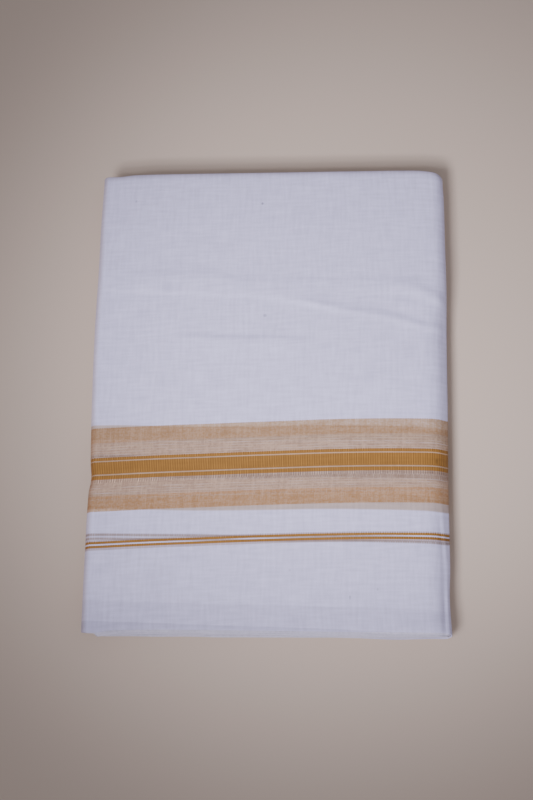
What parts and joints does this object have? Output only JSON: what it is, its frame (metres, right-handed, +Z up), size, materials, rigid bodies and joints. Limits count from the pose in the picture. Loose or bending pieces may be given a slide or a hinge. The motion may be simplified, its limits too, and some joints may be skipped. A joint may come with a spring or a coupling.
{
  "type": "folded dhoti cloth",
  "caption": "White cotton dhoti with a gold and tan border, folded into a flat rectangular packet of rounded leaves, lying face up.",
  "frame": {"origin": "middle of the packet's footprint, on the surface it lies on", "axes": "+Z up out of the bordered face, +Y from the front folds to the back folds along the longer side, +X towards the turn that goes round the whole packet; the border runs along X"},
  "size_m": [0.2402, 0.3246, 0.0168],
  "materials": {
    "bordered_face": "fine white plain-weave cotton, matte, with woven gold, tan and hairline stripes",
    "plain_leaf": "fine white plain-weave cotton, matte",
    "folded_edges": "folded edges of fine white cotton, matte"
  },
  "bodies": {
    "root": {"top_leaf": "bordered_face", "second_leaf": "plain_leaf", "hidden_layers": "folded_edges"}
  },
  "joints": []
}
